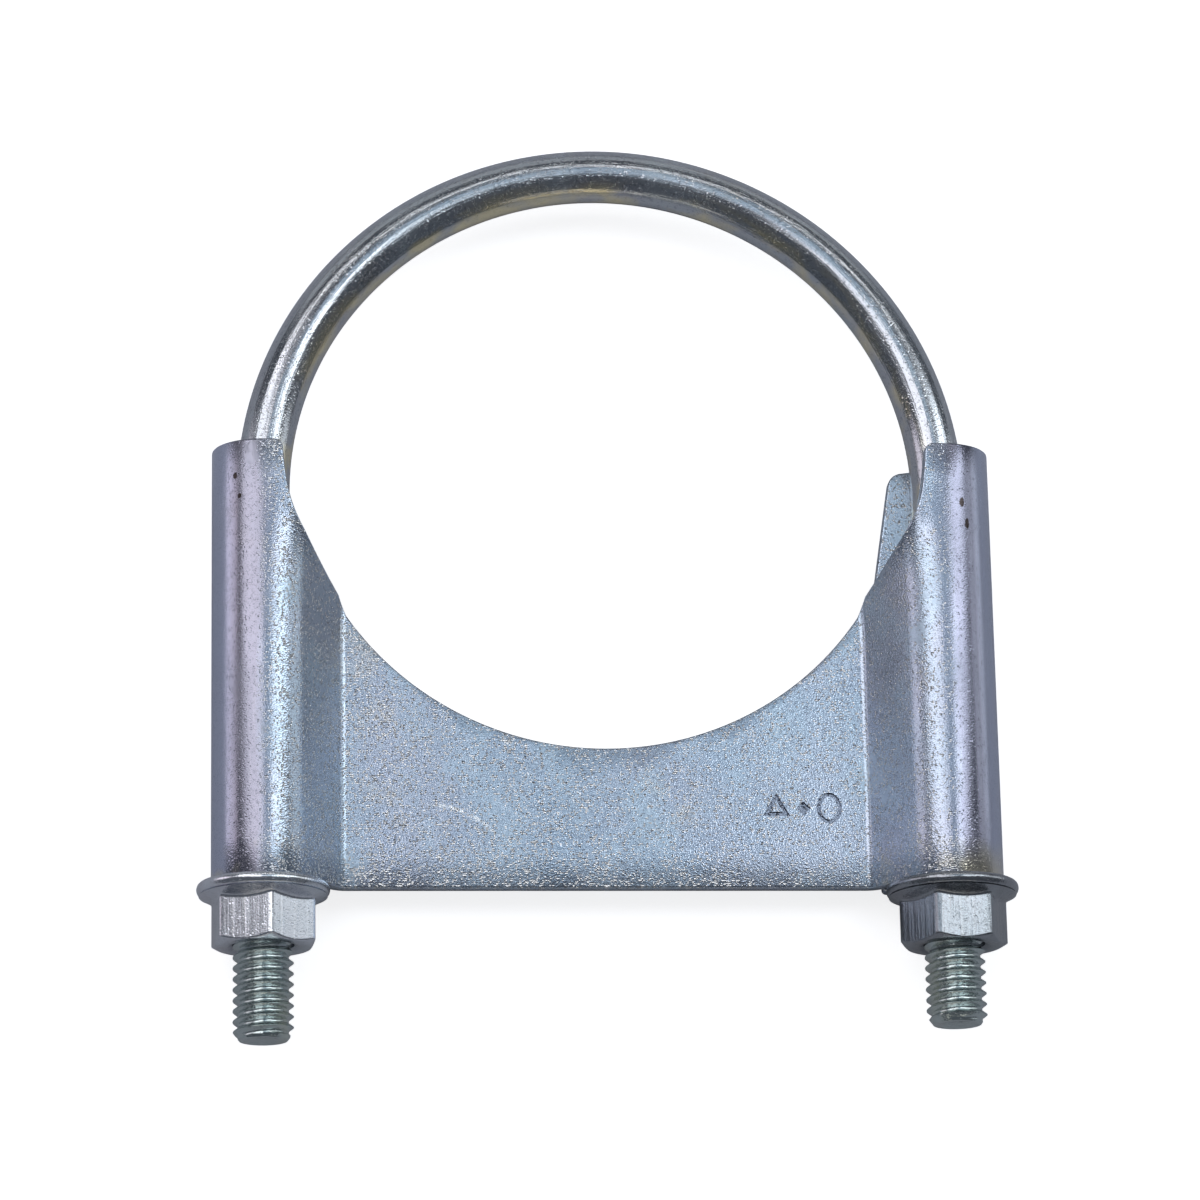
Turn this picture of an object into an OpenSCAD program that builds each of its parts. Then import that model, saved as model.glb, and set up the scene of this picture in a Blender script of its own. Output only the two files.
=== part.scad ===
// Saddle clamp for a round pipe: a U-bolt, a stamped saddle and two flange nuts.
// The clamp lies on its back. X runs across the two legs, Y runs up the legs to the
// arch, Z is the pipe's axis. The origin is the centre of the pipe's seat.

/* [Pipe] */
// Outside diameter of the pipe that the saddle's seat is cut for
pipe_d = 82.55; // [76:0.05:92]
// Gap all round between the pipe and the inside of the U-bolt
arch_slack = 0.37; // [0.2:0.01:1.2]
// How far the U-bolt is drawn down past the point where it is centred on the pipe
draw_depth = 7; // [0:0.5:9]

/* [U-bolt] */
// Diameter of the plain rod
rod_d = 7.02; // [6.6:0.01:7.4]
// Outside diameter of the rolled thread
thread_d = 7.94; // [7.7:0.01:8.2]
// Length of rolled thread on each leg
thread_l = 36; // [28:1:40]
// How far the left leg stands out below the nut
left_stickout = 12.2; // [11:0.1:16]
// How far the right leg stands out below the nut
right_stickout = 10.3; // [10:0.1:16]
// Length of the chamfer at each leg's tip
tip_chamfer = 1.1; // [0.6:0.1:1.5]

/* [Saddle] */
// Thickness of the sheet
sheet_t = 2; // [1.8:0.1:2.2]
// Distance from the pipe's centre down to the saddle's foot
foot_depth = 60.2; // [56:0.1:64]
// Distance from the pipe's centre down to the tops of the columns
top_depth = 1.5; // [0.5:0.1:4]
// Outside radius of the column that wraps each leg
column_r = 6.8; // [6.6:0.05:7.2]
// Slope of the ramp between the web and each column, in degrees
ramp_angle = 52; // [46:1:58]
// Inside radius of the bend between the web and the ramp
web_bend_r = 1.2; // [0.8:0.1:2]
// Depth of the web's front face behind the legs' axes
web_depth = 2.3; // [2:0.1:2.4]
// How much wider the seat is at the front of the columns than at the web
seat_flare = 1.6; // [0.5:0.1:2]
// How far the right wrapped end's top corner stands inside the pipe's circle
right_end_inside = 1.8; // [0:0.1:2]
// How far the left wrapped end's top corner stands outside the pipe's circle
left_end_outside = 1.9; // [0:0.1:2.5]
// How much further each wrapped end reaches inwards at the foot than at the top
end_reach = 2.8; // [1:0.1:3]
// Distance below the pipe's centre where the wrapped ends begin to narrow
end_knee = 20; // [14:1:30]
// How much lower the wrapped ends' top corners are than the tops of the columns
end_drop = 0.9; // [0:0.1:1.5]
// Radius of the wrapped ends' top corners
end_corner_r = 2; // [1:0.1:3]

/* [Flange nuts] */
// Height of the nut
nut_h = 8.4; // [8:0.1:9]
// Width of the hexagon across its flats
nut_af = 12.6; // [12.4:0.05:12.8]
// Diameter of the flange
flange_d = 17.4; // [16.5:0.1:18]
// Thickness of the flange at its rim
flange_rim = 1.5; // [1:0.1:2]
// Height of the slope between the rim and the hexagon
flange_slope = 1.2; // [0.8:0.1:1.6]
// How far the round edge of the nut's foot lies inside its flats
foot_inset = 0.15; // [0.05:0.05:0.4]
// Turn of the left nut from flat to the front, in degrees
left_nut_turn = 22; // [-30:1:30]
// Turn of the right nut from flat to the front, in degrees
right_nut_turn = -5; // [-30:1:30]
// Radial clearance between the thread and the nut's bore
thread_gap = 0.06; // [0.03:0.01:0.1]
// Gap between the nuts and the saddle's foot
seat_gap = 0.05; // [0.03:0.01:0.1]

/* [Hidden] */
$fn = 96;
// angle between neighbouring points on the sheet's bends
arc_step = 4;

seat_r = pipe_d / 2;
arch_r = seat_r + arch_slack + rod_d / 2;
leg_x = arch_r;
nut_top = -foot_depth - seat_gap;
nut_foot = nut_top - nut_h;

// the sheet: flat web, bend up, straight ramp, wrap round the leg, flat end behind it
half_t = sheet_t / 2;
web_z = -web_depth - half_t;
bend_mid_r = web_bend_r + half_t;
wrap_mid_r = column_r - half_t;
ramp_top = [leg_x - wrap_mid_r * sin(ramp_angle), wrap_mid_r * cos(ramp_angle)];
bend_x = ramp_top.x + (cos(ramp_angle) * (web_z - ramp_top.y)
    - bend_mid_r * (1 - cos(ramp_angle))) / sin(ramp_angle);
saddle_h = foot_depth - top_depth;
right_end_x = seat_r - right_end_inside;
left_end_x = seat_r + left_end_outside;

// a rod along +Y from y0 to y1
module rod_along_y(r, y0, y1) {
    translate([0, y0, 0]) rotate([-90, 0, 0]) cylinder(h = y1 - y0, r = r);
}

// one leg: plain rod from the arch down, then thread at its full outside diameter
module leg(tip_y) {
    thread_top = tip_y + thread_l;
    thread_r = thread_d / 2;
    rod_along_y(rod_d / 2, thread_top, -draw_depth);
    rod_along_y(thread_r, tip_y + tip_chamfer, thread_top);
    translate([0, tip_y, 0]) rotate([-90, 0, 0])
        cylinder(h = tip_chamfer, r1 = thread_r - tip_chamfer * 0.75, r2 = thread_r);
}

module u_bolt() {
    color("slategray") union() {
        translate([0, -draw_depth, 0]) rotate_extrude(angle = 180)
            translate([arch_r, 0]) circle(d = rod_d);
        translate([-leg_x, 0, 0]) leg(nut_foot - left_stickout);
        translate([leg_x, 0, 0]) leg(nut_foot - right_stickout);
    }
}

// points along an arc, from one angle to another
function arc(centre, r, from, to) =
    let (steps = ceil(abs(to - from) / arc_step))
    [for (i = [0:steps]) centre + r * [cos(from + (to - from) * i / steps),
        sin(from + (to - from) * i / steps)]];

// half of the sheet's outline: bend, ramp, round the leg, flat end, and back inside
function half_outline(end_x) =
    let (bend = [bend_x, web_z + bend_mid_r], wrap = [leg_x, 0])
    concat(
        arc(bend, web_bend_r, -90, -90 + ramp_angle),
        arc(wrap, column_r, 90 + ramp_angle, -90),
        [[end_x, -column_r], [end_x, -column_r + sheet_t]],
        arc(wrap, column_r - sheet_t, -90, 90 + ramp_angle),
        arc(bend, web_bend_r + sheet_t, -90 + ramp_angle, -90));

// the whole strip of sheet, seen along the legs
module sheet_section() {
    right = half_outline(right_end_x - end_reach);
    left = half_outline(left_end_x - end_reach);
    polygon(concat(right, [for (i = [len(left) - 1:-1:0]) [-left[i].x, left[i].y]]));
}

// what is cut from a wrapped end: a slant beside the pipe, a drop at the top, a round corner
module end_cut(end_x) {
    low = [end_x - end_reach, -end_knee];
    tip = [end_x, -top_depth - end_drop];
    high = [leg_x + 1, -top_depth];
    lean = atan2(tip.x - low.x, tip.y - low.y);
    fall = atan2(high.y - tip.y, high.x - tip.x);
    half = (90 + lean + fall) / 2;
    centre = tip + end_corner_r / sin(half) * [cos(fall - half), sin(fall - half)];
    side = centre - end_corner_r * [cos(lean), -sin(lean)];
    top = centre + end_corner_r * [-sin(fall), cos(fall)];
    translate([0, 0, -column_r - 1]) linear_extrude(height = sheet_t + 1.2) {
        polygon([low - [1, 0], low, tip, high, high + [0, 1], [low.x - 1, high.y + 1]]);
        difference() {
            polygon([side, tip + [-0.1, 0], tip + [-0.1, 0.3], top + [0, 0.1], top, centre]);
            translate(centre) circle(r = end_corner_r);
        }
    }
}

// the space that the pipe takes: straight through the web, wider towards the front
module pipe_seat() {
    web_front = -web_depth;
    translate([0, 0, web_z - half_t - 0.2]) cylinder(h = sheet_t + 0.2, r = seat_r, $fn = 180);
    translate([0, 0, web_front])
        cylinder(h = column_r + web_depth, r1 = seat_r, r2 = seat_r + seat_flare, $fn = 180);
    translate([0, 0, column_r]) cylinder(h = 1, r = seat_r + seat_flare, $fn = 180);
}

module saddle() {
    color("lightsteelblue") difference() {
        translate([0, -top_depth, 0]) rotate([90, 0, 0])
            linear_extrude(height = saddle_h) sheet_section();
        pipe_seat();
        end_cut(right_end_x);
        mirror([1, 0, 0]) end_cut(left_end_x);
    }
}

// a flange nut with its bearing face up at nut_top, its corners cut back at 30 degrees
module flange_nut(x, turn) {
    corner_r = nut_af / 2 / cos(30);
    foot_r = nut_af / 2 - foot_inset;
    flange_r = flange_d / 2;
    translate([x, nut_top, 0]) rotate([90, 0, 0]) difference() {
        union() {
            intersection() {
                rotate(turn) cylinder(h = nut_h, r = corner_r, $fn = 6);
                cylinder(h = nut_h, r1 = foot_r + nut_h / tan(30), r2 = foot_r);
            }
            cylinder(h = flange_rim, r = flange_r);
            translate([0, 0, flange_rim])
                cylinder(h = flange_slope, r1 = flange_r, r2 = foot_r);
        }
        translate([0, 0, -1]) cylinder(h = nut_h + 2, r = thread_d / 2 + thread_gap);
    }
}

module flange_nut_left() {
    color("gainsboro") flange_nut(-leg_x, left_nut_turn);
}

module flange_nut_right() {
    color("silver") flange_nut(leg_x, right_nut_turn);
}

u_bolt();
saddle();
flange_nut_left();
flange_nut_right();
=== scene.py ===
# %% [markdown]
# # A saddle clamp, piece by piece
# The clamp has four pieces: a bent rod with a thread on each leg, a saddle folded from one strip of
# sheet, and two flange nuts. All of them are steel with a thin coat of zinc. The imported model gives
# each piece's place and size, so every length below starts from its boxes.

# %% Load the frame and measure it
import math
import bmesh
import bpy
from mathutils import Matrix, Vector


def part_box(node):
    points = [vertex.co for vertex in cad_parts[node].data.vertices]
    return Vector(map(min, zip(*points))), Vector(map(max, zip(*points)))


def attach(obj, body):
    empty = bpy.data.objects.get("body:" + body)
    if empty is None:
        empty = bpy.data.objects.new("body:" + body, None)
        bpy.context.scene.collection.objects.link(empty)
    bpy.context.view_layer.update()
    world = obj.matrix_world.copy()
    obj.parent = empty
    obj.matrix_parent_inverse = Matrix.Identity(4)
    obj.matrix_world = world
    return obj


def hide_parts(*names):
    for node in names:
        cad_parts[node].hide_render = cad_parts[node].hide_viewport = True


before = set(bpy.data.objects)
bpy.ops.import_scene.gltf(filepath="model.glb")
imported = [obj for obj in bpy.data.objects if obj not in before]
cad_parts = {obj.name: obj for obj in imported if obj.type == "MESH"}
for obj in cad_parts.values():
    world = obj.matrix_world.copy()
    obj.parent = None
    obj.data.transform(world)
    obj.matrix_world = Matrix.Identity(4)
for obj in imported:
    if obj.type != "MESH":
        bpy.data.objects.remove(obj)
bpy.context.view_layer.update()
MM = 0.001
rod_low, rod_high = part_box("u_bolt")
saddle_low, saddle_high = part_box("saddle")
nut_low, nut_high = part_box("flange_nut_left")
right_nut_low, right_nut_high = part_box("flange_nut_right")
leg_x = (right_nut_low.x + right_nut_high.x) / 2
thread_r = rod_high.x - leg_x
box_margin = 0.01 * MM
print("legs at x", round(leg_x / MM, 3), "thread radius", round(thread_r / MM, 3))

# %% [markdown]
# ## Camera and room
# The clamp lies on its back and is seen from above its foot, with a long lens and a slight roll. A
# pale floor carries it. Zinc is a mirror with a fine grain, so it looks like what stands round it.
# Several softboxes are used, and not one big lamp, because each column mirrors them side by side:
# the wide left panel makes its pale band, the narrow right one its bright line, and the low pair
# lights its flanks. The panel overhead gives the flat web its blue. The back panel draws a thin
# bright line along the arch, and the two low ones behind and in front fill in its sides.

# %% Camera
camera_place = Vector((-56.2, -205.1, 643.5)) * MM
camera_target = Vector((-0.55, -21.6, 0)) * MM
camera_roll = math.radians(-1.1)
lens_mm = 151.8
backwards = (camera_place - camera_target).normalized()
rightwards = Vector((0, 1, 0)).cross(backwards).normalized()
level = Matrix((rightwards, backwards.cross(rightwards), backwards)).transposed()
bpy.ops.object.camera_add(location=camera_place)
camera = bpy.context.object
camera.data.lens = lens_mm
camera.data.clip_start = 0.01
camera.rotation_euler = (level @ Matrix.Rotation(camera_roll, 3, "Z")).to_euler()
bpy.context.scene.camera = camera
bpy.context.scene.view_settings.view_transform = "Standard"
print("camera is", round((camera_target - camera_place).length, 3), "m from the clamp")

# %% Floor
floor_z = nut_low.z - 0.02 * MM
bpy.ops.mesh.primitive_plane_add(size=30, location=(0, 0, floor_z))
floor = bpy.context.object
floor.name = "floor"
floor_paint = bpy.data.materials.new("pale_floor")
floor_paint.use_nodes = True
floor_tree = floor_paint.node_tree
floor_shader = floor_tree.nodes["Principled BSDF"]
floor_shader.inputs["Roughness"].default_value = 0.9
floor_shader.inputs["Specular IOR Level"].default_value = 0.1
floor_shader.inputs["Emission Color"].default_value = (1, 1, 1, 1)
seen = floor_tree.nodes.new("ShaderNodeLightPath")
floor_glow = floor_tree.nodes.new("ShaderNodeMapRange")
floor_glow.inputs["To Min"].default_value = 0.02
floor_glow.inputs["To Max"].default_value = 0.80
floor_tree.links.new(seen.outputs["Is Camera Ray"], floor_glow.inputs["Value"])
pale = floor_tree.nodes.new("ShaderNodeMix")
pale.data_type = "RGBA"
pale.inputs["A"].default_value = (0.55, 0.56, 0.60, 1)
pale.inputs["B"].default_value = (0.80, 0.80, 0.81, 1)
floor_tree.links.new(seen.outputs["Is Camera Ray"], pale.inputs["Factor"])
floor_tree.links.new(pale.outputs["Result"], floor_shader.inputs["Base Color"])
floor_tree.links.new(floor_glow.outputs["Result"], floor_shader.inputs["Emission Strength"])
floor.data.materials.append(floor_paint)

# %% Sky and lamps
sky_colour = (0.095, 0.105, 0.122, 1)
backdrop_colour = (0.93, 0.93, 0.94, 1)
world = bpy.data.worlds.new("sky")
bpy.context.scene.world = world
world.use_nodes = True
sky = world.node_tree.nodes["Background"]
sky_mix = world.node_tree.nodes.new("ShaderNodeMix")
sky_mix.data_type = "RGBA"
sky_mix.inputs["A"].default_value = sky_colour
sky_mix.inputs["B"].default_value = backdrop_colour
sky_path = world.node_tree.nodes.new("ShaderNodeLightPath")
world.node_tree.links.new(sky_path.outputs["Is Camera Ray"], sky_mix.inputs["Factor"])
world.node_tree.links.new(sky_mix.outputs["Result"], sky.inputs["Color"])


def add_softbox(name, place, target, width, height, glow, colour):
    """A rectangular lamp of a given brightness, turned to its target, that the camera can't see."""
    bpy.ops.object.light_add(type="AREA", location=place)
    lamp = bpy.context.object
    lamp.name = name
    lamp.data.shape = "RECTANGLE"
    lamp.data.size = width
    lamp.data.size_y = height
    lamp.data.energy = glow * math.pi * width * height
    lamp.data.color = colour
    lamp.rotation_euler = (Vector(target) - Vector(place)).to_track_quat("-Z", "Y").to_euler()
    lamp.visible_camera = False


clamp_middle = Vector((0, -0.02, 0))
panel_distance = 0.7
mirrored_out = 0.96
mirrored_up = 0.274


def panel_place(angle):
    """A place round the clamp at an angle from overhead, where the columns mirror it to the camera."""
    turn = math.radians(angle)
    aim = Vector((mirrored_out * math.sin(turn), mirrored_up, mirrored_out * math.cos(turn)))
    return clamp_middle + panel_distance * aim


side_panels = [
    ("left_panel", -27, 0.30, 0.6, 1.9, (0.97, 0.96, 1.0)),
    ("low_left_panel", -82, 0.22, 0.5, 1.1, (1.0, 0.92, 1.0)),
    ("web_panel", 5, 0.17, 0.35, 0.58, (0.60, 0.81, 1.0)),
    ("right_panel", 34, 0.15, 0.6, 3.2, (0.90, 0.96, 1.0)),
    ("low_right_panel", 81, 0.20, 0.5, 1.0, (0.92, 0.97, 1.0)),
]
end_panels = [
    ("back_panel", (0, 0.45, 0.55), 1.0, 0.035, 4.0, (1.0, 0.99, 0.97)),
    ("low_back_panel", (0, 0.7, 0.17), 1.3, 0.25, 0.40, (0.95, 0.98, 1.0)),
    ("low_front_panel", (0, -0.7, 0.12), 0.7, 0.07, 1.0, (1.0, 0.95, 0.85)),
]
for name, angle, width, height, glow, colour in side_panels:
    add_softbox(name, panel_place(angle), clamp_middle, width, height, glow, colour)
for name, place, width, height, glow, colour in end_panels:
    add_softbox(name, place, clamp_middle, width, height, glow, colour)

# %% [markdown]
# ## Selecting in code
# An operator works on what is selected. Every step below clears the selection, picks points or edges
# by their place, and then runs the operator, as a hand would pick them with the mouse.

# %% Helpers for edit mode
hair = 0.001 * MM


def edit(piece):
    """Opens a piece in edit mode with nothing selected."""
    if bpy.context.object and bpy.context.object.mode != "OBJECT":
        bpy.ops.object.mode_set(mode="OBJECT")
    bpy.ops.object.select_all(action="DESELECT")
    piece.select_set(True)
    bpy.context.view_layer.objects.active = piece
    bpy.ops.object.mode_set(mode="EDIT")
    bpy.ops.mesh.select_mode(type="VERT")
    bpy.ops.mesh.select_all(action="DESELECT")


def pick_points(piece, test):
    """Selects the points whose place passes the test, and the edges between them."""
    mesh = bmesh.from_edit_mesh(piece.data)
    for point in mesh.verts:
        point.select_set(test(point.co))
    mesh.select_flush(True)
    bmesh.update_edit_mesh(piece.data)
    return sum(point.select for point in mesh.verts)


def pick_edges(piece, test):
    """Selects the edges that pass the test."""
    bpy.ops.mesh.select_mode(type="EDGE")
    mesh = bmesh.from_edit_mesh(piece.data)
    for edge in mesh.edges:
        edge.select_set(test(edge))
    bmesh.update_edit_mesh(piece.data)


def smooth_step(share):
    """Eases a share from 0 to 1, so that a change starts and stops gently."""
    share = min(1, max(0, share))
    return share * share * (3 - 2 * share)


def place_points(piece, new_place):
    """Moves every point of a piece to new_place(old place)."""
    for point in piece.data.vertices:
        point.co = new_place(point.co)
    piece.data.update()


def settle(piece):
    """Back to object mode, with the piece's place kept in its mesh."""
    bpy.ops.object.mode_set(mode="OBJECT")
    bpy.ops.object.transform_apply(location=True, rotation=True, scale=True)


def close_up(piece, smooth_angle):
    """Merges doubles, turns all faces outwards and smooths the gentle edges."""
    edit(piece)
    bpy.ops.mesh.select_all(action="SELECT")
    bpy.ops.mesh.remove_doubles(threshold=hair)
    bpy.ops.mesh.normals_make_consistent(inside=False)
    bpy.ops.object.mode_set(mode="OBJECT")
    bpy.ops.object.shade_smooth_by_angle(angle=math.radians(smooth_angle))
    mesh = bmesh.new()
    mesh.from_mesh(piece.data)
    holes = sum(edge.is_boundary or not edge.is_manifold for edge in mesh.edges)
    volume = mesh.calc_volume(signed=True)
    mesh.free()
    piece.data.calc_loop_triangles()
    triangles = len(piece.data.loop_triangles)
    print(piece.name, triangles, "triangles,", holes, "open edges,", round(volume * 1e9, 1), "mm3")


# %% [markdown]
# ## The U-bolt
# The real one is a length of rod whose ends are rolled between dies, which press a thread into the
# metal and push its crests out past the rod, and which is then bent round a mandrel. Here one ring
# is spun round the arch and drawn out down both legs. The threads are made apart and bridged on.

# %% Bend the rod
rod_r = 3.51 * MM
arch_y = rod_high.y - leg_x - rod_r - box_margin
tips_y = {-1: rod_low.y, 1: rod_low.y + 1.9 * MM}
thread_length = 36 * MM
ring_points = 64
bend_steps = 120
bridge_gap = 0.8 * MM

bpy.ops.mesh.primitive_circle_add(vertices=ring_points, radius=rod_r,
                                  location=(leg_x, arch_y, 0), rotation=(math.pi / 2, 0, 0))
u_bolt = bpy.context.object
u_bolt.name = "bent_rod"
settle(u_bolt)
edit(u_bolt)
bpy.ops.mesh.select_all(action="SELECT")
bpy.ops.mesh.spin(steps=bend_steps, angle=-math.pi, center=(0, arch_y, 0), axis=(0, 0, 1))
for side in (-1, 1):
    bpy.ops.mesh.select_all(action="DESELECT")
    pick_points(u_bolt, lambda p: p.y < arch_y + hair and p.x * side > 0)
    leg_end = tips_y[side] + thread_length + bridge_gap
    bpy.ops.mesh.extrude_region_move(TRANSFORM_OT_translate={"value": (0, leg_end - arch_y, 0)})
settle(u_bolt)
print("rod reaches y", round(max(p.co.y for p in u_bolt.data.vertices) / MM, 2))

# %% [markdown]
# ### The rolled threads
# A thread is one groove that winds round the leg, so its shape is a zigzag line carried round the
# leg's axis while it climbs one pitch a turn. The Screw modifier does that. Its ragged ends are cut
# square by two bisects, and the points near them are drawn in for the chamfer and the run-out.

# %% Thread profile
pitch = 25.4 / 18 * MM
thread_steps = 48
weld = 0.002 * MM
root_r = 3.3 * MM
root_round = 0.04 * MM
crest_round = 0.04 * MM
crest_seam = 0.06 * MM
flat = pitch / 8
flank = (pitch - 3 * flat) / 2
profile_of_one_turn = [
    (root_r + root_round, 0),
    (root_r, flat),
    (root_r + root_round, 2 * flat),
    (thread_r - crest_round, 2 * flat + flank),
    (thread_r, 2.25 * flat + flank),
    (thread_r - crest_seam, 2.5 * flat + flank),
    (thread_r, 2.75 * flat + flank),
    (thread_r - crest_round, 3 * flat + flank),
]
tip_chamfer = 1.1 * MM
tip_slope = 0.75
run_out = 2.2 * pitch
tip_rings = 6
spare_turns = 5
tip_bevel = 0.35 * MM
dish_width = 0.8 * MM
dish_depth = 0.12 * MM


def thread_limit(radius, above_tip, below_top):
    """The radius that is left after the tip's chamfer and the run-out below the plain rod."""
    cone = thread_r - tip_slope * max(0, tip_chamfer - above_tip)
    drawn = rod_r + (radius - rod_r) * smooth_step(below_top / run_out)
    return min(drawn, cone)


def add_thread(side):
    """One leg's thread as an open tube, from its closed tip up to the plain rod."""
    tip_y = tips_y[side]
    top_y = tip_y + thread_length
    turns = math.ceil(thread_length / pitch) + spare_turns
    bpy.ops.mesh.primitive_circle_add(vertices=3, radius=MM)
    thread = bpy.context.object
    edit(thread)
    bpy.ops.mesh.select_all(action="SELECT")
    bpy.ops.mesh.delete(type="VERT")
    mesh = bmesh.from_edit_mesh(thread.data)
    start_y = nut_high.y - pitch * math.ceil((nut_high.y - tip_y) / pitch + 1)
    last = None
    for turn in range(turns):
        for radius, climb in profile_of_one_turn:
            point = mesh.verts.new((radius, start_y + turn * pitch + climb, 0))
            if last:
                mesh.edges.new((last, point))
            last = point
    bmesh.update_edit_mesh(thread.data)
    bpy.ops.object.mode_set(mode="OBJECT")
    screw = thread.modifiers.new("wind", "SCREW")
    screw.axis = "Y"
    screw.angle = math.tau
    screw.screw_offset = pitch
    screw.steps = thread_steps
    screw.render_steps = thread_steps
    screw.use_merge_vertices = True
    screw.merge_threshold = weld
    bpy.ops.object.modifier_apply(modifier=screw.name)
    edit(thread)
    bpy.ops.mesh.select_all(action="SELECT")
    bpy.ops.mesh.remove_doubles(threshold=weld)
    for y, cuts_above in ((tip_y, False), (top_y, True)):
        bpy.ops.mesh.select_all(action="SELECT")
        bpy.ops.mesh.bisect(plane_co=(0, y, 0), plane_no=(0, 1, 0), threshold=hair,
                            clear_outer=cuts_above, clear_inner=not cuts_above)
    for ring in range(1, tip_rings):
        bpy.ops.mesh.select_all(action="SELECT")
        ring_y = tip_y + tip_chamfer * 1.3 * ring / tip_rings
        bpy.ops.mesh.bisect(plane_co=(0, ring_y, 0), plane_no=(0, 1, 0), threshold=hair)
    bpy.ops.object.mode_set(mode="OBJECT")

    def chamfered(p):
        radius = math.hypot(p.x, p.z)
        share = thread_limit(radius, p.y - tip_y, top_y - p.y) / radius
        return Vector((p.x * share, p.y, p.z * share))

    place_points(thread, chamfered)
    edit(thread)
    pick_points(thread, lambda p: p.y < tip_y + hair)
    bpy.ops.mesh.edge_face_add()
    bpy.ops.mesh.select_mode(type="FACE")
    bpy.ops.mesh.inset(thickness=tip_bevel, depth=0)
    bpy.ops.mesh.inset(thickness=dish_width, depth=dish_depth)
    bpy.ops.object.mode_set(mode="OBJECT")
    place_points(thread, lambda p: p + Vector((leg_x * side, 0, 0)))
    return thread


threads = [add_thread(side) for side in (-1, 1)]
print("threads:", [len(t.data.vertices) for t in threads], "points each")

# %% Join the threads to the rod
bpy.ops.object.select_all(action="DESELECT")
for thread in threads:
    thread.select_set(True)
u_bolt.select_set(True)
bpy.context.view_layer.objects.active = u_bolt
bpy.ops.object.join()
for side in (-1, 1):
    top_y = tips_y[side] + thread_length
    edit(u_bolt)
    rings = pick_points(u_bolt, lambda p: -weld < p.y - top_y < 1.1 * bridge_gap and p.x * side > 0)
    pick_edges(u_bolt, lambda edge: edge.select and edge.is_boundary)
    bpy.ops.mesh.bridge_edge_loops()
    print("bridged", rings, "points on side", side)
close_up(u_bolt, 40)
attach(u_bolt, "u_bolt")
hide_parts("u_bolt")

# %% Straightened coordinates for the rod's marks
def straightened(p):
    """Where a point of the rod was before the rod was bent, lying along Y."""
    if p.y < arch_y:
        side = math.copysign(1, p.x)
        return Vector((side * p.x - leg_x, side * (arch_y - p.y), p.z))
    reach = math.hypot(p.x, p.y - arch_y)
    turn = math.pi / 2 - math.atan2(p.y - arch_y, p.x)
    return Vector((reach - leg_x, (turn - math.pi / 2) * leg_x, p.z))


def keep_straightened(piece):
    marks = piece.data.attributes.new("straightened", "FLOAT_VECTOR", "POINT")
    for point, mark in zip(piece.data.vertices, marks.data):
        mark.vector = straightened(point.co)


keep_straightened(u_bolt)

# %% [markdown]
# ## The saddle
# The press cuts a flat blank first, with the pipe's seat bitten out of its top edge, and then folds
# it: two bends up from the web, two ramps, and a wrap round each leg that ends flat behind it. The
# same order works here. The blank is laid out flat, so its cut edge can be rounded all round at once,
# and a fold is then only a rule that says where a point of the flat blank goes.

# %% The fold rule
sheet_t = 2 * MM
half_t = sheet_t / 2
column_r = saddle_high.z
foot_y = saddle_low.y
top_y = saddle_high.y
web_z = -2.3 * MM - half_t
ramp_angle = math.radians(52)
bend_r = 1.2 * MM + half_t
wrap_r = column_r - half_t
ramp_top = Vector((leg_x - wrap_r * math.sin(ramp_angle), wrap_r * math.cos(ramp_angle)))
climb = ramp_top.y - web_z - bend_r * (1 - math.cos(ramp_angle))
ramp_length = climb / math.sin(ramp_angle)
bend_x = ramp_top.x - ramp_length * math.cos(ramp_angle) - bend_r * math.sin(ramp_angle)
wrap_start = math.pi / 2 + ramp_angle
bend_end_s = bend_x + bend_r * ramp_angle
ramp_end_s = bend_end_s + ramp_length
wrap_end_s = ramp_end_s + wrap_r * (wrap_start + math.pi / 2)
crest_s = ramp_end_s + wrap_r * ramp_angle
opening = 1.12
open_from_y = -17 * MM
open_full_y = -8 * MM


def unrolled(y):
    """How far the free front edge of a column springs open: none at the ramp, most at the top."""
    return opening * smooth_step((y - open_from_y) / (open_full_y - open_from_y))


def folded_half(s, y):
    """Where the sheet's middle goes, (x, z) and its normal, at s from the centre line and at y."""
    if s <= bend_x:
        return Vector((s, web_z)), Vector((0, 1))
    if s <= bend_end_s:
        turn = (s - bend_x) / bend_r
        inwards = Vector((-math.sin(turn), math.cos(turn)))
        return Vector((bend_x, web_z + bend_r)) - bend_r * inwards, inwards
    if s <= crest_s:
        radius = wrap_r / (1 - unrolled(y))
        turn = min(crest_s - s, wrap_r * ramp_angle) / radius
        outwards = Vector((-math.sin(turn), math.cos(turn)))
        rest = max(0, ramp_end_s - s)
        along = Vector((-outwards.y, outwards.x))
        centre = Vector((leg_x, wrap_r - radius))
        return centre + radius * outwards + rest * along, outwards
    if s <= wrap_end_s:
        turn = math.pi / 2 - (s - crest_s) / wrap_r
        outwards = Vector((math.cos(turn), math.sin(turn)))
        return Vector((leg_x, 0)) + wrap_r * outwards, outwards
    return Vector((leg_x - (s - wrap_end_s), -wrap_r)), Vector((0, -1))


def folded(p):
    """A point of the flat blank, x along the strip and z through it, in its folded place."""
    middle, normal = folded_half(abs(p.x), p.y)
    place = middle + normal * p.z
    return Vector((math.copysign(1, p.x) * place.x, p.y, place.y))


print("half of the blank is", round(wrap_end_s / MM, 1), "mm long up to the flat end")

# %% [markdown]
# ### The blank's outline
# Seen along the pipe, the seat has to be a circle after folding. So each point of the seat's edge is
# chosen by its angle round the pipe, and the strip's own length is searched for the place that the
# fold carries to that circle. The corners where the seat meets the column tops are small arcs.

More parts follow.
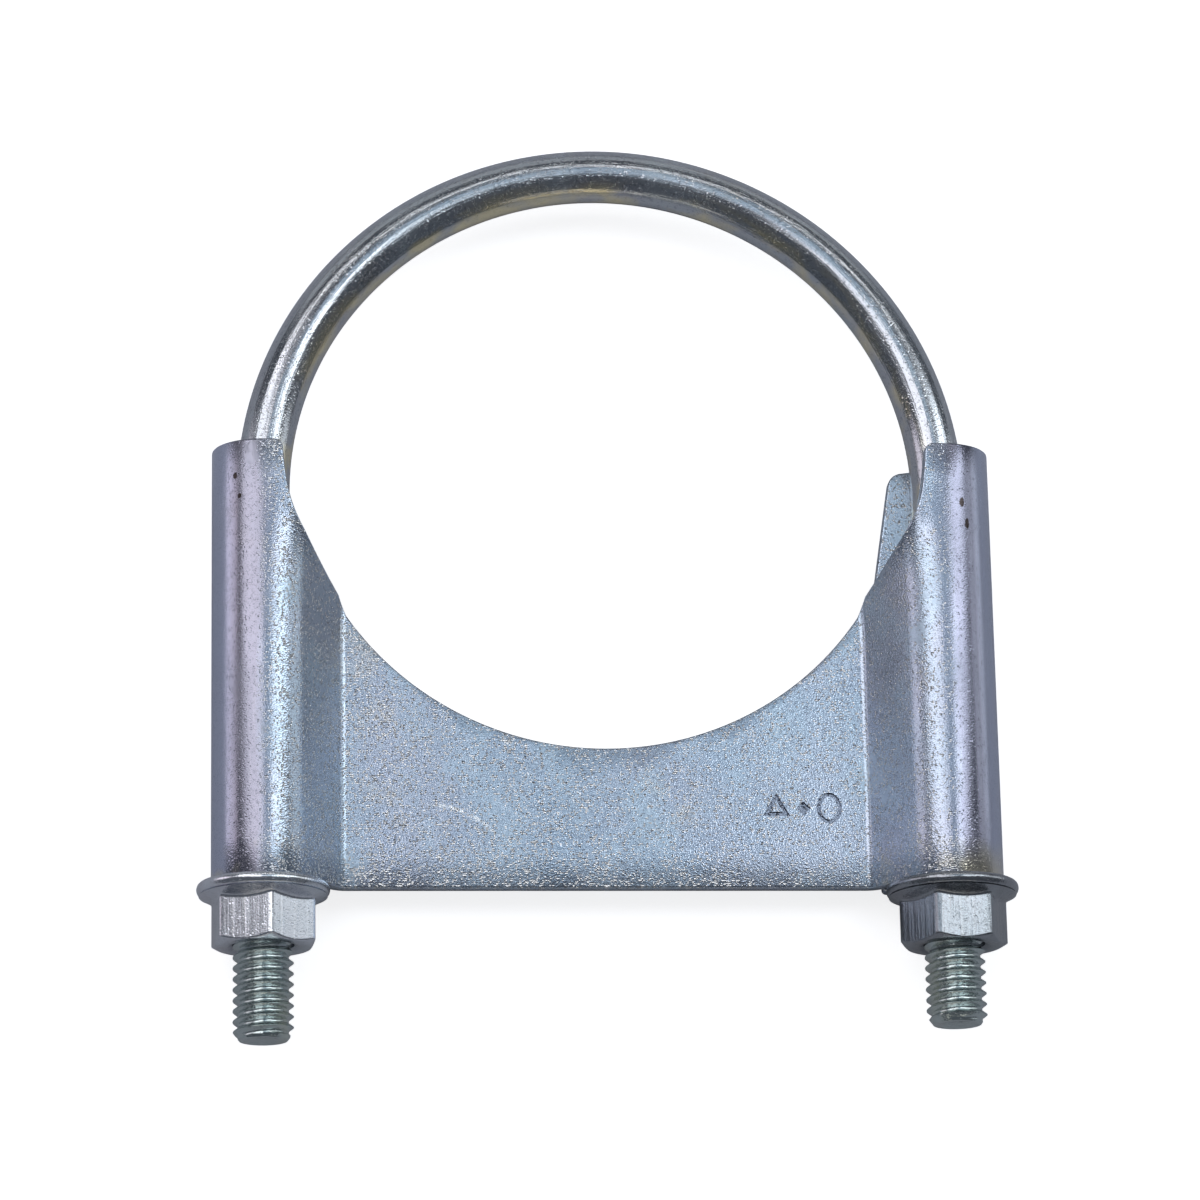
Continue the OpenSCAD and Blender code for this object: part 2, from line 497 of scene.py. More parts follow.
# %% Outline of the flat blank
seat_r = 41.275 * MM
seat_flare = 1.6 * MM
web_front_z = web_z + half_t
end_top_x = {1: seat_r - 1.8 * MM, -1: seat_r + 1.9 * MM}
end_reach = 2.8 * MM
end_drop = 0.9 * MM
end_knee_y = -20 * MM
top_corner_r = 1.2 * MM
end_corner_r = 2.0 * MM
foot_corner_r = 0.6 * MM
seat_steps = 64


def seat_radius(z):
    """The seat's radius at a height: straight in the web and wider towards the front."""
    share = max(0, (z - web_front_z) / (column_r - web_front_z))
    return seat_r + seat_flare * share


def seat_point(angle):
    """The blank's point (s, y) that folds to an angle below the horizontal on the pipe's seat."""
    low = 0
    high = crest_s
    middle_z = web_z
    for _ in range(40):
        s = (low + high) / 2
        middle = folded_half(s, -seat_radius(middle_z) * math.sin(angle))[0]
        middle_z = middle.y
        if middle.x < seat_radius(middle.y) * math.cos(angle):
            low = s
        else:
            high = s
    return Vector((low, -seat_radius(middle_z) * math.sin(angle)))


def rounded(corner, before, after, radius, steps=6):
    """A round corner between the lines to the points before and after it."""
    one = (before - corner).normalized()
    two = (after - corner).normalized()
    half = one.angle(two) / 2
    centre = corner + (one + two).normalized() * (radius / math.sin(half))
    start = corner + one * (radius / math.tan(half)) - centre
    stop = corner + two * (radius / math.tan(half)) - centre
    return [centre + radius * start.slerp(stop, i / steps).normalized() for i in range(steps + 1)]


def end_s(x):
    return wrap_end_s + (leg_x - x)


def half_outline(side):
    """One half of the outline, from the foot's middle up to the middle of the seat."""
    foot = Vector((end_s(end_top_x[side] - end_reach), foot_y))
    knee = Vector((foot.x, end_knee_y))
    tip = Vector((end_s(end_top_x[side]), top_y - end_drop))
    drop_start = Vector((wrap_end_s - 1 * MM, top_y))
    first = math.asin(-top_y / (seat_r + seat_flare))
    edge = [seat_point(first + (math.pi / 2 - first) * (i / seat_steps) ** 1.4)
            for i in range(seat_steps)]
    corner = Vector((edge[0].x, top_y))
    clear = [p for p in edge if p.y < top_y - top_corner_r * 1.05]
    points = [Vector((0, foot_y))]
    points += rounded(foot, Vector((0, foot_y)), knee, foot_corner_r)
    points += [knee]
    points += rounded(tip, knee, drop_start, end_corner_r, 10)
    points += [drop_start]
    points += rounded(corner, drop_start, clear[0], top_corner_r, 8)
    points += clear
    return [Vector((p.x * side, p.y)) for p in points]


right_side = half_outline(1)
left_side = list(reversed(half_outline(-1)[1:]))
seat_bottom = Vector((0, -seat_r))
outline = right_side + [seat_bottom] + left_side
print("the blank's outline has", len(outline), "points")

# %% Cut the blank and round its edge
edge_round = 0.28 * MM
bpy.ops.mesh.primitive_circle_add(vertices=len(outline), radius=seat_r, fill_type="NGON")
saddle = bpy.context.object
saddle.name = "folded_saddle"
for point, place in zip(saddle.data.vertices, outline):
    point.co = Vector((place.x, place.y, -half_t))
edit(saddle)
bpy.ops.mesh.select_all(action="SELECT")
bpy.ops.mesh.extrude_region_move(TRANSFORM_OT_translate={"value": (0, 0, sheet_t)})
bpy.ops.mesh.select_all(action="SELECT")
bpy.ops.mesh.normals_make_consistent(inside=False)
bpy.ops.mesh.select_all(action="DESELECT")
pick_edges(saddle, lambda edge: abs(edge.verts[0].co.z - edge.verts[1].co.z) < half_t)
bpy.ops.mesh.bevel(offset=edge_round, segments=3, affect="EDGES", clamp_overlap=False)
bpy.ops.object.mode_set(mode="OBJECT")
print("rounded edge:", len(saddle.data.vertices), "points")

# %% Score the blank where it bends, then fold it
bend_stations = 10
wrap_stations = 84
row_count = 12


def stations():
    """The places along the strip where it needs an edge to bend at."""
    places = [bend_x + (bend_end_s - bend_x) * i / bend_stations for i in range(bend_stations + 1)]
    places += [bend_end_s + ramp_length * i / 4 for i in range(1, 4)]
    wrap = wrap_end_s - ramp_end_s
    places += [ramp_end_s + wrap * i / wrap_stations for i in range(wrap_stations + 1)]
    places += [bend_x * i / 6 for i in range(1, 6)]
    return places


edit(saddle)
for s in stations():
    for side in (-1, 1):
        bpy.ops.mesh.select_all(action="SELECT")
        bpy.ops.mesh.bisect(plane_co=(s * side, 0, 0), plane_no=(1, 0, 0), threshold=hair)
for row in range(1, row_count):
    bpy.ops.mesh.select_all(action="SELECT")
    row_y = foot_y + (top_y - foot_y) * row / row_count
    bpy.ops.mesh.bisect(plane_co=(0, row_y, 0), plane_no=(0, 1, 0), threshold=hair)
bpy.ops.object.mode_set(mode="OBJECT")
place_points(saddle, folded)

# %% [markdown]
# ### The stamped mark
# A stamp has pressed a shallow mark into the web beside the right bend. Three plain shapes stand for
# it: a ring, a small diamond and the outline of a triangle. A Boolean cuts them, which leaves the
# rest of the web alone.

# %% Stamp the mark
mark_depth = 0.35 * MM
mark_x = 29.5 * MM
mark_y = -49.4 * MM
mark_size = 4.2 * MM
stroke = 0.55 * MM
diamond_size = 1.9 * MM
diamond_shift = 3.4 * MM
triangle_shift = 7.0 * MM


def add_stamp(name, sides, x, width, height, hole):
    """One raised shape of the stamp, standing through the web's front face."""
    where = Vector((x, mark_y, web_front_z))
    bpy.ops.mesh.primitive_cylinder_add(vertices=sides, radius=0.5, depth=2 * mark_depth,
                                        location=where, scale=(width, height, 1))
    stamp = bpy.context.object
    stamp.name = name
    settle(stamp)
    if hole:
        edit(stamp)
        bpy.ops.mesh.select_mode(type="FACE")
        mesh = bmesh.from_edit_mesh(stamp.data)
        for face in mesh.faces:
            face.select_set(abs(face.normal.z) > 0.9)
        bmesh.update_edit_mesh(stamp.data)
        bpy.ops.mesh.inset(thickness=stroke, depth=0)
        bpy.ops.mesh.bridge_edge_loops()
        bpy.ops.object.mode_set(mode="OBJECT")
    return stamp


stamps = [
    add_stamp("stamp_ring", 40, mark_x, 0.8 * mark_size, mark_size, True),
    add_stamp("stamp_bar", 4, mark_x - diamond_shift, diamond_size, diamond_size, False),
    add_stamp("stamp_wedge", 3, mark_x - triangle_shift, mark_size, mark_size, True),
]
close_up(saddle, 35)
for stamp in stamps:
    close_up(stamp, 35)
    press = saddle.modifiers.new("press", "BOOLEAN")
    press.operation = "DIFFERENCE"
    press.object = stamp
    bpy.ops.object.select_all(action="DESELECT")
    bpy.context.view_layer.objects.active = saddle
    bpy.ops.object.modifier_apply(modifier=press.name)
    bpy.data.objects.remove(stamp)
close_up(saddle, 35)
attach(saddle, "saddle")
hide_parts("saddle")

# %% [markdown]
# ## The flange nuts
# A flange nut is forged from one slug, so its hexagon, its slope and its flange are one piece. Turned
# work starts from a profile: a ring of rim points is spun round the leg's axis, and the six flats are
# then pressed in by moving each point to the nearest of the surfaces that bound it.

# %% Nut profile
nut_height = nut_high.y - nut_low.y
flange_r = (nut_high.x - nut_low.x) / 2 - box_margin
hex_flat_r = 6.3 * MM
foot_r = hex_flat_r - 0.15 * MM
flange_rim = 1.5 * MM
flange_slope = 1.2 * MM
bore_r = thread_r + 0.06 * MM
sink_r = bore_r + 0.55 * MM
foot_slope = math.tan(math.radians(30))
nut_steps = 144
rim_round = 0.55 * MM
left_turn = math.radians(-22)
right_turn = math.radians(5)


def soft_least(a, b, blend):
    """The smaller of two lengths, with the corner between them rounded."""
    near = max(0, blend - abs(a - b)) / blend
    return min(a, b) - near * near * blend / 4


def nut_radius(down, angle):
    """The nut's outside radius at a distance below its bearing face and an angle from a flat."""
    from_flat = (angle + math.pi / 6) % (math.pi / 3) - math.pi / 6
    hexagon = soft_least(hex_flat_r / math.cos(from_flat), 7.2 * MM, 0.12 * MM)
    drop = down - flange_rim
    cone = flange_r - 0.05 * MM - (flange_r - foot_r) * max(0, drop) / flange_slope
    body = -soft_least(-cone, -hexagon, 0.5 * MM)
    foot_cone = foot_r + (nut_height - down) / foot_slope
    return soft_least(body, foot_cone, 0.15 * MM)


def nut_rows():
    """Distances below the bearing face of the rows between the flange's rim and the foot."""
    rows = [flange_rim + flange_slope * 1.4 * i / 14 for i in range(1, 15)]
    start = rows[-1]
    knee = nut_height - 0.85 * MM
    rows += [start + (knee - start) * i / 8 for i in range(1, 9)]
    rows += [knee + (nut_height - knee) * i / 12 for i in range(1, 12)]
    return rows


def nut_profile():
    """The nut's section as (radius, distance below the bearing face), all the way round."""
    sink = sink_r - bore_r
    profile = [(bore_r, nut_height - sink * 0.6), (bore_r, sink * 0.6), (sink_r, 0.04 * MM)]
    profile += [(sink_r + 0.1 * MM, 0), (flange_r - rim_round - 0.3 * MM, 0)]
    centre_r = flange_r - rim_round
    middle = flange_rim / 2
    for i in range(13):
        turn = -math.pi / 2 + math.pi * i / 12
        profile.append((centre_r + rim_round * math.cos(turn), middle + middle * math.sin(turn)))
    profile += [(None, row) for row in nut_rows()]
    profile += [(foot_r - 0.12 * MM, nut_height), (sink_r + 0.1 * MM, nut_height)]
    profile += [(sink_r, nut_height - 0.04 * MM)]
    return profile


def add_nut(name, side, turn, body, node):
    """One flange nut, spun round its own leg and then turned to its place."""
    profile = nut_profile()
    bpy.ops.mesh.primitive_circle_add(vertices=len(profile), radius=MM)
    nut = bpy.context.object
    nut.name = name
    for point, (radius, down) in zip(nut.data.vertices, profile):
        out = flange_r if radius is None else radius
        point.co = Vector((0, nut_high.y - down, out))
    edit(nut)
    bpy.ops.mesh.select_all(action="SELECT")
    bpy.ops.mesh.spin(steps=nut_steps, angle=math.tau, center=(0, 0, 0), axis=(0, 1, 0))
    bpy.ops.object.mode_set(mode="OBJECT")
    rows_start = nut_high.y - flange_rim - hair
    rows_stop = nut_low.y + hair

    def pressed(p):
        radius = math.hypot(p.x, p.z)
        angle = math.atan2(p.x, p.z)
        if radius > sink_r + 0.2 * MM and rows_stop < p.y < rows_start:
            radius = nut_radius(nut_high.y - p.y, angle)
        return Vector((radius * math.sin(angle + turn) + leg_x * side, p.y,
                       radius * math.cos(angle + turn)))

    place_points(nut, pressed)
    close_up(nut, 28)
    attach(nut, body)
    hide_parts(node)
    return nut


nut_left = add_nut("turned_nut_left", -1, left_turn, "nut_left", "flange_nut_left")
nut_right = add_nut("turned_nut_right", 1, right_turn, "nut_right", "flange_nut_right")

# %% [markdown]
# ## The zinc
# Bright zinc is plated on bare steel, so it shows the steel's own marks through a thin bluish metal:
# the fine dimpled grain of rolled sheet, drag lines along drawn rod and along forged flats, and soft
# stains of lilac, blue and straw where the last bath dried. The grain and the stains are on every
# piece, so they are node groups, and each material sets how strong and how large they are.
# The grain's brightest specks are painted white, as painted glints.

# %% Helpers for materials
def new_group(name, inputs, outputs):
    """An empty node group with named number inputs, a Vector input, and typed outputs."""
    group = bpy.data.node_groups.new(name, "ShaderNodeTree")
    group.interface.new_socket("Vector", in_out="INPUT", socket_type="NodeSocketVector")
    for label, value in inputs.items():
        socket = group.interface.new_socket(label, in_out="INPUT", socket_type="NodeSocketFloat")
        socket.default_value = value
    for label, kind in outputs.items():
        group.interface.new_socket(label, in_out="OUTPUT", socket_type="NodeSocket" + kind)
    return group, group.nodes.new("NodeGroupInput"), group.nodes.new("NodeGroupOutput")


def add_node(tree, kind, settings=None, values=None, links=None):
    """Adds one node: its settings, the values of its sockets, and what feeds them."""
    node = tree.nodes.new("ShaderNode" + kind)
    for key, value in (settings or {}).items():
        setattr(node, key, value)
    for key, value in (values or {}).items():
        node.inputs[key].default_value = value
    for key, source in (links or {}).items():
        tree.links.new(source, node.inputs[key])
    return node


def stretch(tree, vector, scale):
    """The coordinates multiplied along each axis, which makes a pattern finer or longer."""
    return add_node(tree, "Mapping", values={"Scale": scale}, links={"Vector": vector}).outputs[0]


def noise(tree, vector, scale, detail=2.0, roughness=0.5):
    return add_node(tree, "TexNoise", values={"Scale": scale, "Detail": detail,
                    "Roughness": roughness}, links={"Vector": vector}).outputs["Fac"]


def remap(tree, value, low, high, to_low=0.0, to_high=1.0):
    return add_node(tree, "MapRange", values={"From Min": low, "From Max": high,
                    "To Min": to_low, "To Max": to_high}, links={"Value": value}).outputs[0]


def combine(tree, operation, a, b):
    """Arithmetic on two sockets, or on a socket and a number."""
    node = add_node(tree, "Math", {"operation": operation})
    for index, source in enumerate((a, b)):
        if isinstance(source, (int, float)):
            node.inputs[index].default_value = source
        else:
            tree.links.new(source, node.inputs[index])
    return node.outputs[0]


def tint(tree, factor, a, b):
    """Mixes two colours, each a socket or an RGBA value, by a mask."""
    node = add_node(tree, "Mix", {"data_type": "RGBA"}, links={"Factor": factor})
    for label, source in (("A", a), ("B", b)):
        if isinstance(source, tuple):
            node.inputs[label].default_value = source
        else:
            tree.links.new(source, node.inputs[label])
    return node.outputs["Result"]


# %% Grain of the sheet under the zinc, with painted glints
def build_grain_and_glints():
    """Tiny dimples, each of its own depth: a height, a mask of specks painted white as glints, and one
    of pores.
    """
    group, given, out = new_group("sheet_grain_and_glints", {"Size": 4000.0, "GlintCrowd": 0.0},
                                  {"Height": "Float", "GlintSpecks": "Float", "Pores": "Float"})
    cells = add_node(group, "TexVoronoi", {"feature": "F1"},
                     links={"Vector": given.outputs["Vector"], "Scale": given.outputs["Size"]})
    pick = add_node(group, "SeparateColor", links={"Color": cells.outputs["Color"]})
    patch = noise(group, given.outputs["Vector"], 170.0, 4.0, 0.7)
    glint_crowding = combine(group, "ADD", patch, given.outputs["GlintCrowd"])
    limit = remap(group, glint_crowding, 0.35, 0.85, 0.98, 0.60)
    # The picked cells are dug a little deeper and are painted white as glints, a painted highlight.
    glint_speck = combine(group, "GREATER_THAN", pick.outputs["Green"], limit)
    group.links.new(glint_speck, out.inputs["GlintSpecks"])
    shallow = combine(group, "MULTIPLY", combine(group, "ADD", pick.outputs["Red"], 0.35), 0.35)
    depth = combine(group, "ADD", shallow, combine(group, "MULTIPLY", glint_speck, 1.6))
    height = combine(group, "MULTIPLY", cells.outputs["Distance"], depth)
    group.links.new(height, out.inputs["Height"])
    pore = combine(group, "GREATER_THAN", pick.outputs["Blue"], 0.90)
    group.links.new(pore, out.inputs["Pores"])
    return group


grain_and_glint_group = build_grain_and_glints()

# %% Stains of the last bath
lilac = (0.66, 0.62, 0.74, 1)
ice = (0.58, 0.71, 0.84, 1)
straw = (0.80, 0.73, 0.55, 1)
steel_blue = (0.54, 0.64, 0.76, 1)
pale_lilac = (0.36, 0.34, 0.41, 1)
# Paler blue for the outer flanks is a painted reflection; darker lilac for the right column is painted
# shade.
flank_painted_reflection_blue = (0.66, 0.70, 0.88, 1)
lilac_in_painted_shade = (0.27, 0.26, 0.34, 1)
# White for the painted glint specks, and for the bare metal in the scratch.
glint_and_scratch_white = (1.0, 1.0, 1.0, 1)
pore_grey = (0.25, 0.27, 0.33, 1)
streak_white = (0.95, 0.96, 1.0, 1)
# Painted shade for the floor of the stamped mark.
mark_shade_grey = (0.27, 0.30, 0.37, 1)
pit_black = (0.06, 0.05, 0.05, 1)
# Painted warm reflection for the inner side of the rod.
inner_side_painted_reflection_yellow = (0.86, 0.76, 0.50, 1)
thread_green = (0.55, 0.62, 0.60, 1)


def build_stains():
    """Soft clouds of lilac, ice blue and straw over the plain blue-grey of zinc."""
    group, given, out = new_group("bath_stains", {"Size": 55.0, "Lilac": 0.5, "Straw": 0.25},
                                  {"Color": "Color", "Cloud": "Float"})
    broad = add_node(group, "TexNoise", values={"Detail": 2.0},
                     links={"Vector": given.outputs["Vector"], "Scale": given.outputs["Size"]})
    moved = stretch(group, given.outputs["Vector"], (1.3, 0.7, 1.3))
    narrow = noise(group, moved, 120.0, 3.0, 0.55)
    warm = combine(group, "MULTIPLY", remap(group, broad.outputs["Fac"], 0.38, 0.6),
                   given.outputs["Lilac"])
    colour = tint(group, warm, steel_blue, lilac)
    colour = tint(group, remap(group, narrow, 0.5, 0.68), colour, ice)
    dry = remap(group, noise(group, given.outputs["Vector"], 85.0, 4.0, 0.6), 0.6, 0.72)
    colour = tint(group, combine(group, "MULTIPLY", dry, given.outputs["Straw"]), colour, straw)
    group.links.new(colour, out.inputs["Color"])
    group.links.new(narrow, out.inputs["Cloud"])
    return group


stain_group = build_stains()

# %% Drag lines
def build_drag_lines():
    """Long thin lines along Y, as a die or a roller leaves them."""
    group, given, out = new_group("drag_lines", {"Across": 2600.0, "Along": 60.0},
                                  {"Height": "Float", "Streaks": "Float"})
    across = given.outputs["Across"]
    size = add_node(group, "CombineXYZ", links={"X": across, "Y": given.outputs["Along"],
                                                "Z": across})
    placed = add_node(group, "VectorMath", {"operation": "MULTIPLY"})
    group.links.new(given.outputs["Vector"], placed.inputs[0])
    group.links.new(size.outputs["Vector"], placed.inputs[1])
    lines = noise(group, placed.outputs["Vector"], 1.0, 3.0, 0.6)
    group.links.new(lines, out.inputs["Height"])
    group.links.new(remap(group, lines, 0.58, 0.72), out.inputs["Streaks"])
    return group


drag_group = build_drag_lines()
print("groups:", [g.name for g in bpy.data.node_groups])

# %% A zinc material
def place_group(tree, group, vector, values=None):
    node = tree.nodes.new("ShaderNodeGroup")
    node.node_tree = group
    tree.links.new(vector, node.inputs["Vector"])
    for key, value in (values or {}).items():
        node.inputs[key].default_value = value
    return node


def zinc_material(name, look, smoothed=None):
    """One zinc finish. The look gives the strength of grain, painted glint specks, drag lines and
    stains.

    Where the smoothed mask is 1, the die has ironed the grain flat and the zinc is lilac. That lilac
    is painted darker on the right column, as painted shade, and paler blue on the outer flanks,
    as painted reflection."""
    material = bpy.data.materials.new(name)
    material.use_nodes = True
    tree = material.node_tree
    shader = tree.nodes["Principled BSDF"]
    shader.inputs["Metallic"].default_value = 1.0
    place = add_node(tree, "TexCoord").outputs["Object"]
    if look["path"]:
        along = add_node(tree, "Attribute", {"attribute_name": look["path"]}).outputs["Vector"]
    else:
        along = place
    grain = place_group(tree, grain_and_glint_group, place, {"Size": look["grain_size"]})
    stains = place_group(tree, stain_group, place, {"Size": look["stain_size"],
                                                    "Lilac": look["lilac"],
                                                    "Straw": look["straw"]})
    drag = place_group(tree, drag_group, along, {"Across": look["drag_size"], "Along": 60.0})
    ironed = smoothed(tree, place) if smoothed else 0.0
    rough_share = combine(tree, "SUBTRACT", 1.0, ironed)
    glint_specks = combine(tree, "MULTIPLY", grain.outputs["GlintSpecks"],
                     combine(tree, "MULTIPLY", rough_share, look["glint_specks"]))
    pores = combine(tree, "MULTIPLY", grain.outputs["Pores"],
                    combine(tree, "MULTIPLY", rough_share, look["pores"]))
    streaks = combine(tree, "MULTIPLY", drag.outputs["Streaks"], look["streaks"])
    lilac_share = combine(tree, "MULTIPLY", ironed, 0.85)
    across = add_node(tree, "SeparateXYZ", links={"Vector": place}).outputs["X"]
    # Painted shade: the right column's lilac is darker than the left's.
    lilac_with_painted_shade_and_reflection = tint(tree, remap(tree, across, -10 * MM, 10 * MM), pale_lilac, lilac_in_painted_shade)
    reach = combine(tree, "ABSOLUTE", across, 0)
    # Painted reflection: the outermost flanks are tinted a paler blue.
    flank = remap(tree, reach, leg_x + 3.6 * MM, leg_x + 5.2 * MM)
    lilac_with_painted_shade_and_reflection = tint(tree, flank, lilac_with_painted_shade_and_reflection, flank_painted_reflection_blue)
    colour = tint(tree, lilac_share, stains.outputs["Color"], lilac_with_painted_shade_and_reflection)
    # Painted highlight: the specks are painted white to stand in for glints.
    colour = tint(tree, glint_specks, colour, glint_and_scratch_white)
    colour = tint(tree, pores, colour, pore_grey)
    colour = tint(tree, streaks, colour, streak_white)
    shine = add_node(tree, "HueSaturation", values={"Value": look["value"],
                     "Saturation": look["saturation"]}, links={"Color": colour})
    tree.links.new(shine.outputs["Color"], shader.inputs["Base Color"])
    rough = remap(tree, stains.outputs["Cloud"], 0.3, 0.7, look["rough"] - 0.05,
                  look["rough"] + 0.07)
    tree.links.new(rough, shader.inputs["Roughness"])
    grain_depth = combine(tree, "MULTIPLY", combine(tree, "SUBTRACT", 1.35, ironed), look["grain"])
    grain_height = combine(tree, "MULTIPLY", grain.outputs["Height"], grain_depth)
    drag_height = combine(tree, "MULTIPLY", drag.outputs["Height"], look["drag"])
    bump = add_node(tree, "Bump", values={"Distance": MM, "Strength": 1.0},
                    links={"Height": combine(tree, "ADD", grain_height, drag_height)})
    tree.links.new(bump.outputs["Normal"], shader.inputs["Normal"])
    return material, grain


# %% [markdown]
# ### One finish for each kind of piece
# The sheet's grain is coarse and sparkles, partly by white specks painted as glints, while the rod and
# the nuts are smoother and show drag lines instead. The right nut has the left one's finish at half
# its brightness, as painted shade.

# %% The finishes
def outer_side(tree, place):
    """1 on the outer half of each column, which was ironed over the die, and 0 on the rest."""
    split = add_node(tree, "SeparateXYZ", links={"Vector": place})
    reach = combine(tree, "ABSOLUTE", split.outputs["X"], 0)
    wavy = combine(tree, "ADD", reach, combine(tree, "MULTIPLY", noise(tree, place, 90.0), 1.5 * MM))
    return remap(tree, wavy, leg_x - 1.5 * MM, leg_x + 1.8 * MM)


sheet_look = {"path": None, "grain_size": 4300.0, "stain_size": 45.0, "straw": 0.25,
              "lilac": 0.3, "drag_size": 1500.0, "glint_specks": 0.9, "pores": 0.45, "streaks": 0.05,
              "value": 0.85, "saturation": 1.0, "rough": 0.22, "grain": 0.042, "drag": 0.004}
rod_look = dict(sheet_look, path="straightened", glint_specks=0.2, pores=0.35, streaks=0.5,
                rough=0.18, grain=0.012, drag=0.055, value=0.76, saturation=0.4, straw=0.5,
                lilac=0.4)
nut_look = dict(sheet_look, glint_specks=0.1, pores=0.2, streaks=0.45, rough=0.20, grain=0.008,
                drag=0.04, value=1.05, saturation=0.4, lilac=0.5, straw=0.4)
# Painted shade: the right nut is the left nut's finish at half brightness, with stronger drag lines.
shaded_nut_look = dict(nut_look, value=0.5, drag=0.07)
sheet_finish, sheet_grain_and_glints = zinc_material("zinc_on_sheet", sheet_look, outer_side)
rod_finish = zinc_material("zinc_on_rod", rod_look)[0]
nut_finish = zinc_material("zinc_on_left_nut", nut_look)[0]
shaded_nut_finish = zinc_material("zinc_on_right_nut_painted_shade", shaded_nut_look)[0]
for piece, finish in ((saddle, sheet_finish), (u_bolt, rod_finish), (nut_left, nut_finish),
                      (nut_right, shaded_nut_finish)):
    piece.data.materials.clear()
    piece.data.materials.append(finish)

# %% [markdown]
# ### Wear
# Handling leaves marks that the plating bath did not: a curved scratch on the web, a few rust pits
# near the tops of the columns, and straw stains where water stood along the foot. The stamped mark's
# floor is painted darker, as painted shade in its recess.

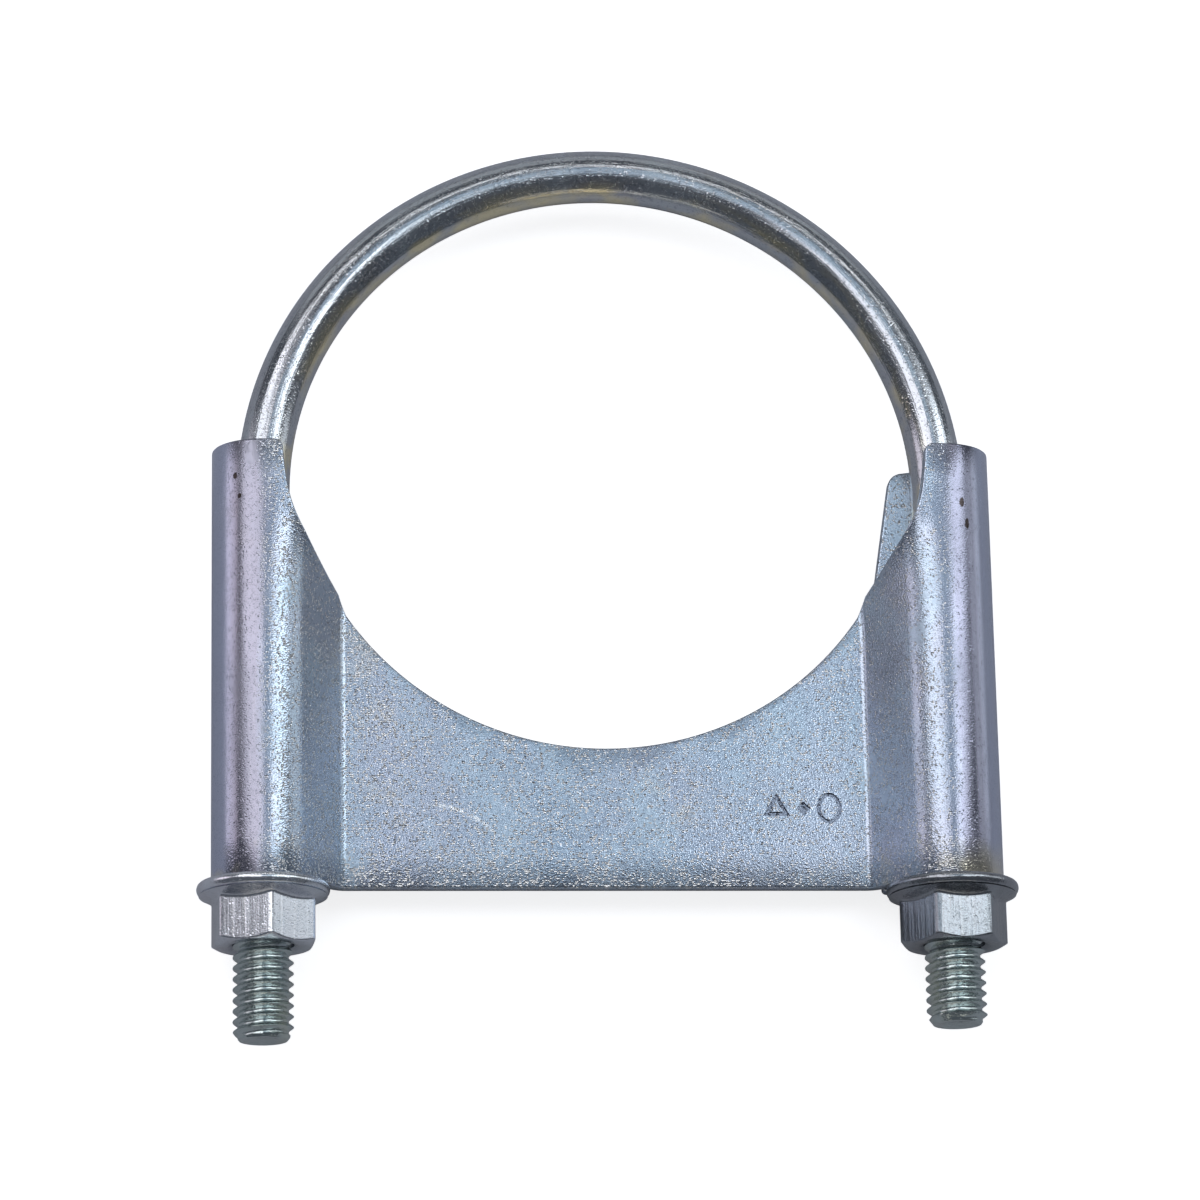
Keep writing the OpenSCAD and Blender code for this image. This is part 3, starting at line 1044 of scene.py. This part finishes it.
# %% Wear on the sheet
def add_wear(tree, grain, pits):
    """The painted glint specks crowd along the foot and on the left; one curved scratch and a few pits
    are added.
    """
    shader = tree.nodes["Principled BSDF"]
    place = add_node(tree, "TexCoord").outputs["Object"]
    split = add_node(tree, "SeparateXYZ", links={"Vector": place})
    # Painted glints: more white specks towards the foot and the left.
    low = remap(tree, split.outputs["Y"], -52 * MM, foot_y)
    left = remap(tree, split.outputs["X"], 5 * MM, -30 * MM)
    both = combine(tree, "MULTIPLY", combine(tree, "ADD", low, left), 0.14)
    tree.links.new(both, grain.inputs["GlintCrowd"])
    centre = add_node(tree, "VectorMath", {"operation": "SUBTRACT"}, links={0: place})
    centre.inputs[1].default_value = (-23.5 * MM, -61 * MM, web_front_z)
    reach = add_node(tree, "VectorMath", {"operation": "LENGTH"}, links={0: centre.outputs[0]})
    off_line = combine(tree, "ABSOLUTE", combine(tree, "SUBTRACT", reach.outputs["Value"],
                                                 12 * MM), 0)
    on_line = remap(tree, off_line, 0.30 * MM, 0.10 * MM)
    bounds_x = combine(tree, "MULTIPLY", remap(tree, split.outputs["X"], -24 * MM, -22 * MM),
                       remap(tree, split.outputs["X"], -14 * MM, -15 * MM))
    broken = remap(tree, noise(tree, place, 1500.0, 2.0), 0.4, 0.6)
    scratch = combine(tree, "MULTIPLY", combine(tree, "MULTIPLY", on_line, bounds_x), broken)
    flat_web = combine(tree, "LESS_THAN", split.outputs["Z"], web_front_z + 0.5 * MM)
    scratch = combine(tree, "MULTIPLY", scratch, flat_web)
    colour = shader.inputs["Base Color"].links[0].from_socket
    foot = remap(tree, split.outputs["Y"], foot_y + 5 * MM, foot_y + 0.5 * MM)
    foot = combine(tree, "MULTIPLY", foot, remap(tree, noise(tree, place, 160.0, 3.0), 0.45, 0.6))
    folded_up = combine(tree, "GREATER_THAN", split.outputs["Z"], web_front_z + 1.5 * MM)
    foot = combine(tree, "MULTIPLY", foot, combine(tree, "MULTIPLY", folded_up, 0.7))
    colour = tint(tree, foot, colour, straw)
    colour = tint(tree, scratch, colour, glint_and_scratch_white)
    # Painted shade: the floor of the stamped recess is painted darker.
    floor_of_mark = web_front_z - mark_depth
    off_floor = combine(tree, "SUBTRACT", split.outputs["Z"], floor_of_mark)
    mark_shade = combine(tree, "LESS_THAN", combine(tree, "ABSOLUTE", off_floor, 0), 0.7 * mark_depth)
    mark_middle = mark_x - 3.5 * MM
    for axis, centre_of_mark, reach_of_mark in (("X", mark_middle, 6.5 * MM),
                                                ("Y", mark_y, mark_size)):
        off = combine(tree, "SUBTRACT", split.outputs[axis], centre_of_mark)
        near = combine(tree, "LESS_THAN", combine(tree, "ABSOLUTE", off, 0), reach_of_mark)
        mark_shade = combine(tree, "MULTIPLY", mark_shade, near)
    colour = tint(tree, mark_shade, colour, mark_shade_grey)
    for x, y, radius in pits:
        away = add_node(tree, "VectorMath", {"operation": "SUBTRACT"}, links={0: place})
        away.inputs[1].default_value = (x * MM, y * MM, 4.5 * MM)
        ragged = add_node(tree, "VectorMath", {"operation": "LENGTH"},
                          links={0: stretch(tree, away.outputs[0], (1.5, 0.8, 0.1))})
        edge = combine(tree, "ADD", ragged.outputs["Value"],
                       combine(tree, "MULTIPLY", noise(tree, place, 1800.0, 2.0), 0.8 * MM))
        pit = remap(tree, edge, (radius + 0.5) * MM, (radius + 0.35) * MM)
        colour = tint(tree, pit, colour, pit_black)
    tree.links.new(colour, shader.inputs["Base Color"])


rust_pits = [(-48.9, -6.4, 0.35), (-48.4, -9.3, 0.4), (47.4, -9.7, 0.45), (48.0, -12.6, 0.5)]
add_wear(sheet_finish.node_tree, sheet_grain_and_glints, rust_pits)
print("sheet wear: one scratch and", len(rust_pits), "pits")

# %% Painted yellow reflection and dark threads on the rod
def add_rod_tones(tree):
    """The inside of the bend is painted yellow in patches, a painted reflection, and the threads get a
    darker, greener zinc.
    """
    shader = tree.nodes["Principled BSDF"]
    path = add_node(tree, "Attribute", {"attribute_name": "straightened"}).outputs["Vector"]
    split = add_node(tree, "SeparateXYZ", links={"Vector": path})
    place = add_node(tree, "TexCoord").outputs["Object"]
    height = add_node(tree, "SeparateXYZ", links={"Vector": place}).outputs["Y"]
    colour = shader.inputs["Base Color"].links[0].from_socket
    # Painted reflection: the inner side of the rod is tinted yellow in patches.
    inside = remap(tree, split.outputs["X"], -1.2 * MM, -2.8 * MM)
    patchy = remap(tree, noise(tree, stretch(tree, path, (4, 1, 1)), 120.0, 3.0), 0.42, 0.6)
    inside = combine(tree, "MULTIPLY", combine(tree, "MULTIPLY", inside, patchy), 0.9)
    colour = tint(tree, inside, colour, inner_side_painted_reflection_yellow)
    threaded = remap(tree, height, nut_low.y + 2 * MM, nut_low.y)
    colour = tint(tree, combine(tree, "MULTIPLY", threaded, 0.8), colour, thread_green)
    tree.links.new(colour, shader.inputs["Base Color"])


add_rod_tones(rod_finish.node_tree)
print("rod tones added")
